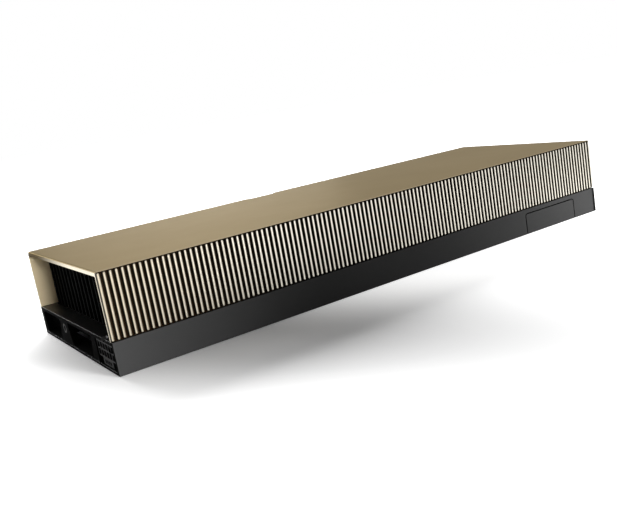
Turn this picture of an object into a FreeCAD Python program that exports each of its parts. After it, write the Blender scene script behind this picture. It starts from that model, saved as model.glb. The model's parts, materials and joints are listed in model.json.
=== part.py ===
"""Passive dual-slot accelerator card, lying with its component side up.

Millimetres. X runs along the card, from the rear end with the duct's mouth and
the power header (-X) to the display end (+X). Y runs from the ribbed long side
(-Y) to the tip of the slot tongue (+Y). Z is up and Z = 0 is the outer face of
the backplate. The origin is the middle of the card's footprint.
"""
import FreeCAD, Part
import math
import os
from FreeCAD import Rotation, Vector

# ---------------------------------------------------------------- whole card
card_length = 267.0
body_width = 98.5             # ribbed side to the plain long side
tongue_reach = 12.65          # plain long side to the tip of the slot tongue
card_thickness = 38.2
card_height = body_width + tongue_reach

nick = 0.01                   # cutters pass the cut face by this much

x_rear = -card_length / 2
x_io = card_length / 2
y_rib = -card_height / 2
y_low = y_rib + body_width
y_tip = card_height / 2
y_mid = y_rib + body_width / 2

# ------------------------------------------------------- heights in the stack
backplate_thickness = 1.1
board_gap = 0.74              # backplate to board
board_thickness = 1.57
frame_height = 12.56
deck_thickness = 1.5
top_thickness = 1.85          # flat top of the shroud

z_board = backplate_thickness + board_gap
z_board_top = z_board + board_thickness
z_deck = frame_height - deck_thickness
z_duct_top = card_thickness - top_thickness

# -------------------------------------------------------------------- shroud
side_wall = 1.5               # plain long wall, of the shroud and of the frame
bend_radius = 3.0             # outside, where the top turns into the plain wall
rib_pitch = 2.16
rib_width = 1.1
rib_depth = 1.4               # crest to groove floor
rib_web = 0.8                 # wall left behind the grooves
rib_end_bevel = 0.45          # bevelled upper and lower ends of each rib
rib_foot = 0.3                # step between the frame and the ribs' lower ends
plate_lip = 0.45              # top plate above the ribs' upper ends
plate_setback = 0.35          # top plate's edge behind the rib crests
plate_bevel = 0.2

y_groove = y_rib + rib_depth
y_rib_inner = y_groove + rib_web
z_rib_top = card_thickness - plate_lip

# recess in the plain long side, where the slot's retention lever swings
recess_from_hook = 0.1        # beyond the toe of the board's hook
recess_length = 18.5
recess_depth = 5.0
recess_ramp = 2.0

# --------------------------------------------------------------------- frame
frame_wall = 1.6              # wall on the ribbed side
rear_wall = 2.5
end_plate_thickness = 1.0
shelf_depth = 6.5             # deck in front of the fins
deck_ledge = 3.2              # deck beside the fins, measured from the outside
recess_ledge = 1.7            # deck left behind the recess's wall
exhaust_gap = 4.4             # fins to the end plate

x_frame_end = x_io - end_plate_thickness

sill_height = 0.6             # frame's lip above the backplate at the rear
sill_depth = 6.0
header_wall_top = 26.2        # from the ribbed side to the middle window, top
header_wall_foot = 28.2       # the same at the window's foot
post_centre = 63.0            # rear post with the insert, from the ribbed side
post_top_width = 10.0
post_foot_width = 17.0
corner_top_width = 3.5
corner_foot_width = 4.7
window_radius = 1.2

insert_drop = 4.66            # insert's axis below the frame's top
insert_radius = 2.0
insert_length = 6.0
insert_thread_radius = 1.25   # M3 core
insert_boss_radius = 3.1
fit_gap = 0.02                # radial gap of a pressed or screwed piece

# screw posts between the board and the deck
post_radius = 2.6
post_inset = 3.6              # post centre from the wall's inner face
post_from_rear = 30.0
post_before_recess = 22.0
post_after_recess = 16.5
posts_from_io = (66.0, 9.0)
post_clear = 0.4              # post top to the deck's underside
post_bore_depth = 5.2
screw_end_gap = 0.4           # screw's tip to the bore's end

# lugs that the end plate is screwed to
lug_length = 12.0
lug_width = 5.6
lug_bore_depth = 5.4
lug_lift = 0.2                # above the board

# lugs for the shroud's side screws
side_lug_length = 6.0
side_lug_height = 5.6
side_screw_rise = 3.04        # above the frame's top
side_screw_from_rear = 40.0
side_screw_before_recess = 19.0
side_screw_after_recess = 52.5
side_screw_from_io = 37.0

# -------------------------------------------------------------- access cover
cover_from_io = 18.0
cover_length = 36.5
cover_margin = 2.51           # wall left above the cover
cover_gap = 0.5
cover_radius = 1.0
cover_flange = 1.4            # overlap behind the frame's wall
cover_flange_thickness = 0.8
cover_flange_gap = 0.1        # under the deck

# ------------------------------------------------------------------ heatsink
fin_pitch = 5.2
fin_thickness = 1.25
fin_top_gap = 0.15
sink_gap = 0.4                # plate to the deck's opening
plate_reach_rear = 81.0       # thick part of the plate, from the processor's centre
plate_reach_io = 75.0
plate_drop = 2.0              # thick part below the deck's underside
post_margin = 0.95            # thick plate and vapour chamber to the screw posts
leg_radius = 3.0
leg_offset = 33.0             # from the processor's centre, along X and Y
leg_clearance = 0.4

# ----------------------------------------------------------------- processor
processor_from_io = 102.0
package_size = 44.0
package_thickness = 1.6
stiffener_width = 3.0
stiffener_thickness = 0.6
die_length = 27.0
die_width = 24.0
die_thickness = 0.85
paste_thickness = 0.1
chamber_half_length = 40.5

x_gpu = x_io - processor_from_io
z_package = z_board_top + package_thickness
z_die = z_package + die_thickness
z_chamber = z_die + paste_thickness
z_plate = z_deck - plate_drop

# --------------------------------------------------- chips and power circuits
memory_length = 14.0
memory_width = 12.0
memory_thickness = 1.2
memory_pitch = 15.0
memory_per_side = 4
memory_gap = 2.0              # memory to the processor's package
choke_size = 8.0
choke_pitch = 10.0
choke_pad_thickness = 1.15
stage_length = 6.0
stage_width = 5.0
stage_thickness = 1.0
choke_rows_from_gpu = (-73.0, -63.0, 65.0)
stage_sides = (-1, 1, -1)     # side of each choke row on which its stages stand
stage_offset = 8.0            # stage row from its choke row
input_choke_size = 10.0
input_choke_from_rear = 26.0
capacitor_from_rear = 41.0
capacitor_radius = 3.2
capacitor_pitch = 9.0
capacitors_per_row = 6
tall_part_gap = 1.6           # tallest parts on the board to the deck
controller_size = 7.0
controller_thickness = 1.0
controller_offset = 33.0      # from the card's middle line
sync_length = 16.4            # small header behind the access cover
sync_depth = 6.0
sync_height = 5.2
sync_wall = 1.0
sync_back_wall = 1.5
sync_setback = 0.2            # behind the board's edge

# ------------------------------------------------------------------- board
board_rear_gap = 6.8
board_side_gap = 1.1
board_io_gap = 0.3
tongue_from_io = 43.0
short_tongue = 11.65
key_width = 1.9
long_tongue = 71.65
tongue_depth = 8.25
tongue_chamfer = 1.0
tongue_bevel = 1.3
tongue_bevel_depth = 0.4
key_floor = 0.4               # key slot's end above the apron's edge
apron_margin = 5.0
hook_gap = 3.2
hook_leg = 4.0
hook_toe = 4.0
hook_drop = 6.7
hook_toe_height = 2.6
pad_pitch = 1.0
pad_width = 0.7
pad_length = 4.6
pad_thickness = 0.05
pad_from_tip = 1.4
pads_short = 11
pads_long = 71
pad_outer_margin = 1.1
pad_key_margin = 0.55
relief_margin = 2.5           # frame wall lifted off the board beside the apron

# -------------------------------------------------------------- power header
header_from_rib = 2.2
header_width = 18.6
header_depth = 13.0
header_face = 0.4             # behind the rear end
header_sink = 1.8             # below the board's top face
header_deck_gap = 0.35
header_sense_height = 2.6
header_sense_width = 11.0
cell_pitch = 3.0
power_rows = 2
cells_per_row = 6
cell_width = 2.45
cell_wall = 0.55
cell_depth = 9.5
cell_chamfer = 0.5
power_pin = 0.9
pin_setback = 2.6
pin_heel = 1.6                # lower row's bend behind the housing
pin_heel_step = 2.0
sense_pitch = 2.0
sense_count = 4
sense_cell = 1.3
sense_pin = 0.5
sense_row = 1.3
header_clearance = 0.6
latch_width = 2.4
latch_length = 1.7
latch_slope = 1.1
latch_rise = 0.35             # catch above the frame's top
latch_setback = 0.3
notch_width = 4.6             # opening in the deck's edge over the latch
notch_inner_width = 3.0
notch_depth = 2.6
notch_centre = 10.6

# ------------------------------------------------------------- display end
socket_count = 4
socket_margin = 9.25          # outer sockets to the long sides
socket_width = 17.0
socket_height = 5.6
socket_depth = 18.0
socket_wall = 0.4
socket_back = 1.0
socket_chamfer = 2.0
socket_recess = 0.2           # behind the end plate's outer face
socket_gap = 0.2
blade_width = 12.5
blade_thickness = 1.0
blade_setback = 3.0
vent_width = 3.4
vent_margin = 2.6             # vents to the end plate's upper and lower edge
end_plate_gap = 0.2

# ------------------------------------------------------------------- screws
screw_radius = 1.1            # M2.2 to M2.5 shanks
screw_head_radius = 2.1
screw_head_height = 0.9
screw_clearance = 0.15
cooler_screw_radius = 1.4
cooler_head_radius = 2.6
cooler_head_height = 0.9
spacer_radius = 2.5


# ================================================================== helpers
def block(x0, x1, y0, y1, z0, z1):
    """Box between two corners."""
    return Part.makeBox(x1 - x0, y1 - y0, z1 - z0, Vector(x0, y0, z0))


def slab(points, z0, z1):
    """Prism over a plan outline of (x, y) points."""
    corners = [Vector(x, y, z0) for x, y in points]
    face = Part.Face(Part.makePolygon(corners + corners[:1]))
    return face.extrude(Vector(0, 0, z1 - z0))


def prism_x(points, x0, x1):
    """Prism along X over an outline of (y, z) points."""
    corners = [Vector(x0, y, z) for y, z in points]
    face = Part.Face(Part.makePolygon(corners + corners[:1]))
    return face.extrude(Vector(x1 - x0, 0, 0))


def prism_y(points, y0, y1):
    """Prism along Y over an outline of (x, z) points."""
    corners = [Vector(x, y0, z) for x, z in points]
    face = Part.Face(Part.makePolygon(corners + corners[:1]))
    return face.extrude(Vector(0, y1 - y0, 0))


def round_along(shape, direction, radius, keep):
    """Fillet the straight edges that run along a direction and pass the test keep."""
    edges = []
    for edge in shape.Edges:
        if len(edge.Vertexes) != 2:
            continue
        run = edge.Vertexes[1].Point - edge.Vertexes[0].Point
        middle = (edge.Vertexes[1].Point + edge.Vertexes[0].Point) * 0.5
        if abs(run.normalize().dot(direction)) > 0.999 and keep(middle):
            edges.append(edge)
    return shape.makeFillet(radius, edges)


def merge(shapes):
    """One solid from pieces that meet."""
    body = shapes[0].multiFuse(shapes[1:]) if len(shapes) > 1 else shapes[0]
    body = body.removeSplitter()
    return body.Solids[0] if len(body.Solids) == 1 else body


def countersunk(place, axis, length, radius, head_radius, head_height, extra=0.0):
    """Countersunk screw with its flat head at place, running along axis."""
    head = Part.makeCone(head_radius + extra, radius + extra, head_height)
    shank = Part.makeCylinder(radius + extra, length)
    screw = head.fuse(shank).removeSplitter()
    turn = Rotation(Vector(0, 0, 1), axis)
    screw.Placement = FreeCAD.Placement(place, turn)
    return screw.Solids[0]


def export(name, shapes):
    """Write one node, a solid or a group of separate solids."""
    solids = []
    for shape in shapes if isinstance(shapes, list) else [shapes]:
        solids.extend(shape.Solids)
    node = solids[0] if len(solids) == 1 else Part.makeCompound(solids)
    node.exportStep(os.path.join("parts", name + ".step"))


# ======================================================= shared form: recess
def hook_toe_end():
    """X of the toe of the board's hook."""
    tongue = short_tongue + key_width + long_tongue
    return x_io - tongue_from_io - tongue - hook_gap - hook_leg - hook_toe


def recess_span():
    """X where the retention recess starts and ends on the plain side."""
    end = hook_toe_end() - recess_from_hook
    return end - recess_length, end


def recess(offset, z0, z1):
    """Space of the retention recess, grown into the card by offset."""
    turn = math.atan2(recess_depth, recess_ramp)
    shift = offset * math.tan(turn / 2)
    start = recess_span()[0] - shift
    end = recess_span()[1] + shift
    inner = y_low - recess_depth - offset
    outer = y_low - offset
    beyond = y_low + recess_depth
    return slab(
        [
            (start, beyond),
            (start, outer),
            (start + recess_ramp, inner),
            (end - recess_ramp, inner),
            (end, outer),
            (end, beyond),
        ],
        z0,
        z1,
    )


def post_places():
    """Plan positions of the screw posts, along both long walls."""
    recess_start, recess_end = recess_span()
    near = y_rib + frame_wall + post_inset
    far = y_low - side_wall - post_inset
    along = [x_rear + post_from_rear, recess_start - post_before_recess]
    along.append(recess_end + post_after_recess)
    along.extend(x_io - distance for distance in posts_from_io)
    return [(x, y) for y in (near, far) for x in along]


def leg_places():
    """Plan positions of the heatsink's four screwed legs."""
    return [
        (x_gpu + sx * leg_offset, y_mid + sy * leg_offset)
        for sx in (-1, 1)
        for sy in (-1, 1)
    ]


def lug_centres():
    """Height line of the end plate's screws, one beside each long wall."""
    near = y_rib + frame_wall + lug_width / 2
    far = y_low - side_wall - lug_width / 2
    height = (z_board_top + lug_lift + z_deck) / 2
    return [Vector(x_io, y, height) for y in (near, far)]


def side_screw_places():
    """Where the shroud's side screws enter the plain wall."""
    recess_start, recess_end = recess_span()
    along = [
        x_rear + side_screw_from_rear,
        recess_start - side_screw_before_recess,
        recess_end + side_screw_after_recess,
        x_io - side_screw_from_io,
    ]
    return [Vector(x, y_low, frame_height + side_screw_rise) for x in along]


def core_half_width():
    """Half the width left between the screw posts of both walls."""
    thicker_wall = max(frame_wall, side_wall)
    return body_width / 2 - thicker_wall - post_inset - post_radius - post_margin


def fin_lines():
    """Y of each fin, spread evenly about the middle of the duct."""
    room = body_width - 2 * (deck_ledge + sink_gap) - fin_thickness
    count = int(room / fin_pitch) + 1
    return [y_mid + (i - (count - 1) / 2) * fin_pitch for i in range(count)]


# =================================================================== shroud
def rib_comb():
    """Ribbed long wall: a comb profile with half-round crests, drawn upwards."""
    count = int((card_length - rib_width) / rib_pitch) + 1
    first = -(count - 1) * rib_pitch / 2
    half = rib_width / 2
    base = frame_height
    edges = []
    last = Vector(x_rear, y_rib_inner, base)
    corner = Vector(x_rear, y_groove, base)
    edges.append(Part.makeLine(last, corner))
    last = corner
    for i in range(count):
        x = first + i * rib_pitch
        foot = Vector(x - half, y_groove, base)
        shoulder = Vector(x - half, y_rib + half, base)
        crest = Vector(x, y_rib, base)
        far_shoulder = Vector(x + half, y_rib + half, base)
        far_foot = Vector(x + half, y_groove, base)
        edges.append(Part.makeLine(last, foot))
        edges.append(Part.makeLine(foot, shoulder))
        edges.append(Part.Arc(shoulder, crest, far_shoulder).toShape())
        edges.append(Part.makeLine(far_shoulder, far_foot))
        last = far_foot
    for corner in (
        Vector(x_io, y_groove, base),
        Vector(x_io, y_rib_inner, base),
        Vector(x_rear, y_rib_inner, base),
    ):
        edges.append(Part.makeLine(last, corner))
        last = corner
    comb = Part.Face(Part.Wire(edges)).extrude(Vector(0, 0, z_rib_top - base))
    return comb.common(rib_envelope())


def rib_envelope():
    """Side view of the ribbed wall, which bevels both ends of every rib."""
    low = frame_height + rib_foot
    outline = [
        (y_rib_inner, frame_height),
        (y_groove, frame_height),
        (y_groove, low),
        (y_rib + rib_end_bevel, low),
        (y_rib, low + rib_end_bevel),
        (y_rib, z_rib_top - rib_end_bevel),
        (y_rib + rib_end_bevel, z_rib_top),
        (y_rib_inner, z_rib_top),
    ]
    return prism_x(outline, x_rear, x_io)


def hood_section(inner):
    """Cross-section of the top and plain wall: the sheet, or what it encloses."""
    radius = bend_radius - (side_wall if inner else 0)
    top = z_duct_top if inner else card_thickness
    side = y_low - (side_wall if inner else 0)
    near = y_rib_inner if inner else y_rib + plate_setback
    bulge = radius * (1 - math.sqrt(0.5))
    x = x_rear

    def at(y, z):
        return Vector(x, y, z)

    bend = Part.Arc(
        at(side - radius, top), at(side - bulge, top - bulge), at(side, top - radius)
    )
    edges = [bend.toShape(), Part.makeLine(at(side, top - radius), at(side, frame_height))]
    if inner:
        corners = [at(side, frame_height), at(near, frame_height), at(near, top)]
    else:
        corners = [
            at(side, frame_height),
            at(y_rib_inner, frame_height),
            at(y_rib_inner, z_rib_top),
            at(near, z_rib_top),
            at(near, top - plate_bevel),
            at(near + plate_bevel, top),
        ]
    corners.append(at(side - radius, top))
    for start, end in zip(corners, corners[1:]):
        edges.append(Part.makeLine(start, end))
    return Part.Face(Part.Wire(edges))


def make_shroud():
    along = Vector(card_length, 0, 0)
    outside = hood_section(False).extrude(along)
    inside = hood_section(True).extrude(along)
    liner = recess(side_wall, frame_height, card_thickness).common(outside)
    hood = outside.cut(inside).fuse(liner)
    hood = hood.cut(recess(0, 0, card_thickness * 2))
    shroud = merge([hood, rib_comb()])
    for place in side_screw_places():
        hole = countersunk(
            place, Vector(0, -1, 0), side_wall * 2, screw_radius, screw_head_radius,
            screw_head_height, screw_clearance,
        )
        shroud = shroud.cut(hole)
    return shroud


# ==================================================================== frame
def rear_windows():
    """The two windows of the rear wall, with slanting sides and round corners."""
    foot = backplate_thickness + sill_height
    post_top = post_top_width / 2
    post_foot = post_foot_width / 2
    middle = [
        (y_rib + header_wall_foot, foot),
        (y_rib + post_centre - post_foot, foot),
        (y_rib + post_centre - post_top, z_deck),
        (y_rib + header_wall_top, z_deck),
    ]
    far = [
        (y_rib + post_centre + post_foot, foot),
        (y_low - corner_foot_width, foot),
        (y_low - corner_top_width, z_deck),
        (y_rib + post_centre + post_top, z_deck),
    ]
    windows = []
    for outline in (middle, far):
        window = prism_x(outline, x_rear - 1, x_rear + rear_wall + 1)
        windows.append(round_along(window, Vector(1, 0, 0), window_radius, lambda p: True))
    return windows


def latch_notch():
    """Opening in the deck's rear edge, over the power header's latch."""
    centre = y_rib + notch_centre
    return slab(
        [
            (x_rear - 1, centre - notch_width / 2),
            (x_rear, centre - notch_width / 2),
            (x_rear + notch_depth, centre - notch_inner_width / 2),
            (x_rear + notch_depth, centre + notch_inner_width / 2),
            (x_rear, centre + notch_width / 2),
            (x_rear - 1, centre + notch_width / 2),
        ],
        z_deck - 1,
        frame_height + 1,
    )


def cover_opening(extra, y0, y1, low):
    """Outline of the access cover, grown by extra, as a block through the wall."""
    x1 = x_io - cover_from_io + extra
    x0 = x_io - cover_from_io - cover_length - extra
    high = frame_height - cover_margin + extra
    panel = block(x0, x1, y0, y1, low, high)
    middle = (low + high) / 2
    return round_along(panel, Vector(0, 1, 0), cover_radius + extra, lambda p: p.z > middle)


def board_relief_span():
    """Stretch of the plain side where board and backplate reach the outside."""
    start = recess_span()[0] - relief_margin
    end = x_io - tongue_from_io + apron_margin + relief_margin
    return start, end


def make_frame():
    body = block(x_rear, x_frame_end, y_rib, y_low, 0, frame_height)
    room = block(x_rear - 1, x_io, y_rib + frame_wall, y_low - side_wall, -1, z_deck)
    body = body.cut(room)

    jog = recess(side_wall, 0, frame_height)
    body = body.fuse(jog.common(block(x_rear, x_io, y_rib, y_low, 0, frame_height)))
    body = body.cut(recess(0, -1, frame_height + 1))
    start, end = board_relief_span()
    lifted = block(
        start, end, y_low - recess_depth - side_wall * 2, y_low + 1, -1, z_board_top
    )
    body = body.cut(lifted)

    window = block(
        x_rear + shelf_depth, x_io - exhaust_gap, y_rib + deck_ledge,
        y_low - deck_ledge, z_deck - 1, frame_height + 1,
    )
    window = window.cut(recess(side_wall + recess_ledge, 0, frame_height * 2))
    body = body.cut(window)

    body = body.cut(latch_notch())
    body = body.cut(cover_opening(cover_gap, y_rib - 1, y_rib + frame_wall + nick, -1))

    body = merge([body] + frame_bosses())
    for hole in frame_holes():
        body = body.cut(hole)
    return body


def frame_bosses():
    """Screw posts along both walls, and the lugs for the side and end screws."""
    bosses = []
    for x, y in post_places():
        top = z_deck - post_clear
        post = Part.makeCylinder(post_radius, top - z_board_top, Vector(x, y, z_board_top))
        wall = y_rib + frame_wall if y < y_mid else y_low - side_wall
        rib = block(
            x - post_radius, x + post_radius, min(wall, y), max(wall, y), z_board_top, top
        )
        bosses.extend([post, rib])
    for centre in lug_centres():
        bosses.append(
            block(
                x_frame_end - lug_length, x_frame_end,
                centre.y - lug_width / 2, centre.y + lug_width / 2,
                z_board_top + lug_lift, z_deck,
            )
        )
    for place in side_screw_places():
        bosses.append(
            block(
                place.x - side_lug_length / 2, place.x + side_lug_length / 2,
                y_low - deck_ledge, y_low - side_wall,
                z_deck, frame_height + side_lug_height,
            )
        )
    return bosses


def frame_holes():
    """Screw holes of the frame."""
    holes = []
    for x, y in post_places():
        start = Vector(x, y, z_board_top - 1)
        holes.append(Part.makeCylinder(screw_radius + fit_gap, post_bore_depth + 1, start))
    for centre in lug_centres():
        start = Vector(x_io, centre.y, centre.z)
        depth = lug_bore_depth + end_plate_thickness
        holes.append(Part.makeCylinder(screw_radius + fit_gap, depth, start, Vector(-1, 0, 0)))
    for place in side_screw_places():
        depth = deck_ledge + 1
        holes.append(Part.makeCylinder(screw_radius + fit_gap, depth, place, Vector(0, -1, 0)))
    return holes


def insert_mouth():
    return Vector(x_rear, y_rib + post_centre, frame_height - insert_drop)


def make_rear_panel():
    """Panel under the deck's rear edge: two windows, and a post with a boss behind it."""
    near = y_rib + header_from_rib + header_width + header_clearance
    far = y_low - side_wall
    panel = block(x_rear, x_rear + rear_wall, near, far, backplate_thickness, z_deck)
    for opening in rear_windows():
        panel = panel.cut(opening)
    sill = block(
        x_rear, x_rear + sill_depth, near, far,
        backplate_thickness, backplate_thickness + sill_height,
    )
    axis = Vector(1, 0, 0)
    mouth = insert_mouth()
    start = mouth + axis * (rear_wall / 2)
    length = insert_length + rear_wall
    boss = Part.makeCylinder(insert_boss_radius, length, start, axis)
    half = insert_boss_radius / 2
    web = block(start.x, start.x + length, start.y - half, start.y + half, start.z, z_deck)
    bore = Part.makeCylinder(insert_radius + fit_gap, insert_length + 1, mouth - axis, axis)
    return merge([panel, sill, boss, web]).cut(bore)


def make_insert():
    start = insert_mouth()
    sleeve = Part.makeCylinder(insert_radius, insert_length, start, Vector(1, 0, 0))
    core = Part.makeCylinder(insert_thread_radius, insert_length, start, Vector(1, 0, 0))
    return sleeve.cut(core)


def make_cover():
    """Access cover: a flush panel on a wider flange that lies behind the wall."""
    inner = y_rib + frame_wall
    panel = cover_opening(0, y_rib, inner, 0)
    grown = cover_gap + cover_flange
    x1 = x_io - cover_from_io + grown
    x0 = x_io - cover_from_io - cover_length - grown
    low = backplate_thickness + cover_gap / 2
    high = z_deck - cover_flange_gap
    flange = block(x0, x1, inner, inner + cover_flange_thickness, low, high)
    return merge([panel, flange])


# ================================================================ backplate
def make_backplate():
    edge = cover_gap / 2
    start, end = board_relief_span()
    near = y_rib + frame_wall + edge
    inside = y_low - side_wall - edge
    plate = slab(
        [
            (x_rear, near),
            (x_frame_end - edge, near),
            (x_frame_end - edge, inside),
            (end - edge, inside),
            (end - edge, y_low),
            (start + edge, y_low),
            (start + edge, inside),
            (x_rear, inside),
        ],
        0,
        backplate_thickness,
    )
    plate = plate.cut(recess(0, -1, backplate_thickness + 1))
    spacers = [
        Part.makeCylinder(spacer_radius, board_gap, Vector(x, y, backplate_thickness))
        for x, y in post_places() + leg_places()
    ]
    plate = merge([plate] + spacers)
    for x, y in post_places():
        plate = plate.cut(
            countersunk(
                Vector(x, y, 0), Vector(0, 0, 1), z_board + 1, screw_radius,
                screw_head_radius, screw_head_height, screw_clearance,
            )
        )
    for x, y in leg_places():
        plate = plate.cut(
            countersunk(
                Vector(x, y, 0), Vector(0, 0, 1), z_board + 1, cooler_screw_radius,
                cooler_head_radius, cooler_head_height, screw_clearance,
            )
        )
    return plate


# ============================================================ circuit board
def tongue_span():
    """X of the tongue's display end, the key slot's two sides and its far end."""
    start = x_io - tongue_from_io
    key_near = start - short_tongue
    key_far = key_near - key_width
    return start, key_near, key_far, key_far - long_tongue


def make_board():
    x0 = x_rear + board_rear_gap
    x1 = x_frame_end - board_io_gap
    y0 = y_rib + frame_wall + board_side_gap
    y1 = y_low - side_wall - board_side_gap / 2
    apron = y_tip - tongue_depth
    start, key_near, key_far, end = tongue_span()
    hook_near = end - hook_gap
    hook_far = hook_near - hook_leg
    toe = hook_toe_end()
    hook_tip = apron + hook_drop
    cut = tongue_chamfer
    outline = [
        (x0, y0),
        (x1, y0),
        (x1, y1),
        (start + apron_margin, y1),
        (start + apron_margin, apron),
        (start, apron),
        (start, y_tip - cut),
        (start - cut, y_tip),
        (end + cut, y_tip),
        (end, y_tip - cut),
        (end, apron),
        (hook_near, apron),
        (hook_near, hook_tip),
        (toe, hook_tip),
        (toe, hook_tip - hook_toe_height),
        (hook_far, hook_tip - hook_toe_height),
        (hook_far, apron),
        (toe, apron),
        (toe, y1),
        (x0, y1),
    ]
    board = slab(outline, z_board, z_board_top)
    board = board.cut(recess(0, z_board - 1, z_board_top + 1))

    key_end = apron + key_floor + key_width / 2
    key_middle = (key_near + key_far) / 2
    key = block(key_far, key_near, key_end, y_tip + 1, z_board - 1, z_board_top + 1)
    key_round = Part.makeCylinder(
        key_width / 2, board_thickness + 2, Vector(key_middle, key_end, z_board - 1)
    )
    board = board.cut(key.fuse(key_round))
    bevel_start = y_tip - tongue_bevel
    for face, depth in ((z_board_top, -tongue_bevel_depth), (z_board, tongue_bevel_depth)):
        tip = y_tip + nick
        wedge = [(bevel_start, face), (tip, face), (tip, face + depth)]
        board = board.cut(prism_x(wedge, end - 1, start + 1))

    header_cut = block(
        x0 - 1, x_rear + header_face + header_depth + header_clearance, y0 - 1,
        y_rib + header_from_rib + header_width + header_clearance,
        z_board - 1, z_board_top + 1,
    )
    board = board.cut(header_cut)
    for x, y in post_places():
        start_at = Vector(x, y, z_board - 1)
        hole = Part.makeCylinder(screw_radius + screw_clearance, board_thickness + 2, start_at)
        board = board.cut(hole)
    for x, y in leg_places():
        start_at = Vector(x, y, z_board - 1)
        radius = cooler_screw_radius + screw_clearance
        board = board.cut(Part.makeCylinder(radius, board_thickness + 2, start_at))
    return board


def make_pads():
    """Gold pads on both faces of the tongue."""
    start, key_near, key_far, end = tongue_span()
    centres = [start - pad_outer_margin - pad_pitch * i for i in range(pads_short)]
    centres += [key_far - pad_key_margin - pad_pitch * i for i in range(pads_long)]
    y1 = y_tip - pad_from_tip
    y0 = y1 - pad_length
    pads = []
    for x in centres:
        x0 = x - pad_width / 2
        x1 = x + pad_width / 2
        pads.append(block(x0, x1, y0, y1, z_board_top, z_board_top + pad_thickness))
        pads.append(block(x0, x1, y0, y1, z_board - pad_thickness, z_board))
    return pads


# ================================================================= heatsink
def make_heatsink():
    """Finned aluminium block: a comb section, a thick plate and four legs."""
    y0 = y_rib + deck_ledge + sink_gap
    y1 = y_low - deck_ledge - sink_gap
    x0 = x_rear + shelf_depth + sink_gap
    x1 = x_io - exhaust_gap - sink_gap
    top = z_duct_top - fin_top_gap
    outline = [(y1, frame_height), (y1, z_deck), (y0, z_deck), (y0, frame_height)]
    for middle in fin_lines():
        near = middle - fin_thickness / 2
        far = middle + fin_thickness / 2
        outline += [(near, frame_height), (near, top), (far, top), (far, frame_height)]
    comb = prism_x(outline, x0, x1)
    half = core_half_width()
    plate = block(
        x_gpu - plate_reach_rear, x_gpu + plate_reach_io, y_mid - half, y_mid + half,
        z_plate, z_deck,
    )
    legs = [
        Part.makeCylinder(leg_radius, z_plate - z_board_top, Vector(x, y, z_board_top))
        for x, y in leg_places()
    ]
    sink = merge([comb, plate] + legs)
    for x, y in leg_places():
        bore = cooler_screw_radius + fit_gap
        sink = sink.cut(Part.makeCylinder(bore, z_plate, Vector(x, y, z_board_top - 1)))
    return sink.cut(recess(side_wall + recess_ledge + sink_gap, 0, card_thickness))


def make_chamber():
    """Copper vapour chamber, its corners cut back round the heatsink's legs."""
    far = chamber_half_length
    side = core_half_width()
    cut = leg_offset - leg_radius - leg_clearance
    corners = [
        (-far, -cut), (-cut, -cut), (-cut, -side), (cut, -side), (cut, -cut), (far, -cut),
        (far, cut), (cut, cut), (cut, side), (-cut, side), (-cut, cut), (-far, cut),
    ]
    return slab([(x_gpu + x, y_mid + y) for x, y in corners], z_chamber, z_plate)


# ============================================================ parts on board
def on_board(x, y, length, width, height, base=None):
    """A block of this size, centred in plan, standing on the board."""
    low = z_board_top if base is None else base
    return block(
        x - length / 2, x + length / 2, y - width / 2, y + width / 2, low, low + height
    )


def make_package():
    return on_board(x_gpu, y_mid, package_size, package_size, package_thickness)


def make_stiffener():
    outer = on_board(x_gpu, y_mid, package_size, package_size, stiffener_thickness, z_package)
    hole = package_size - 2 * stiffener_width
    return outer.cut(on_board(x_gpu, y_mid, hole, hole, stiffener_thickness, z_package))


def make_die():
    return on_board(x_gpu, y_mid, die_length, die_width, die_thickness, z_package)


def make_paste():
    return on_board(x_gpu, y_mid, die_length, die_width, paste_thickness, z_die)


def memory_places():
    """Centre and size of each memory chip, round all four sides of the package."""
    offset = package_size / 2 + memory_gap + memory_width / 2
    places = []
    for i in range(memory_per_side):
        along = (i - (memory_per_side - 1) / 2) * memory_pitch
        for side in (-1, 1):
            x, y = x_gpu + side * offset, y_mid + side * offset
            places.append((x, y_mid + along, memory_width, memory_length))
            places.append((x_gpu + along, y, memory_length, memory_width))
    return places


def make_memory():
    return [on_board(x, y, l, w, memory_thickness) for x, y, l, w in memory_places()]


def make_memory_pads():
    base = z_board_top + memory_thickness
    return [on_board(x, y, l, w, z_chamber - base, base) for x, y, l, w in memory_places()]


def choke_rows():
    """X of each row of chokes, and the side on which its power stages stand."""
    return [(x_gpu + x, side) for x, side in zip(choke_rows_from_gpu, stage_sides)]


def row_places():
    """Y of each choke in a row, as many as fit under the thick plate."""
    count = int((2 * core_half_width() - choke_size) / choke_pitch) + 1
    return [y_mid + (i - (count - 1) / 2) * choke_pitch for i in range(count)]


def make_chokes():
    height = z_plate - choke_pad_thickness - z_board_top
    return [
        on_board(x, y, choke_size, choke_size, height)
        for x, side in choke_rows()
        for y in row_places()
    ]


def make_choke_pads():
    """One strip of thermal pad over each row of chokes, up to the heatsink."""
    length = row_places()[-1] - row_places()[0] + choke_size
    base = z_plate - choke_pad_thickness
    return [
        on_board(x, y_mid, choke_size, length, choke_pad_thickness, base)
        for x, side in choke_rows()
    ]


def make_stages():
    return [
        on_board(x + side * stage_offset, y, stage_width, stage_length, stage_thickness)
        for x, side in choke_rows()
        for y in row_places()
    ]


def make_input_chokes():
    x = x_rear + input_choke_from_rear
    height = z_deck - tall_part_gap - z_board_top
    return [
        on_board(x, y_mid + side * input_choke_size, input_choke_size, input_choke_size, height)
        for side in (-1, 1)
    ]


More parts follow.
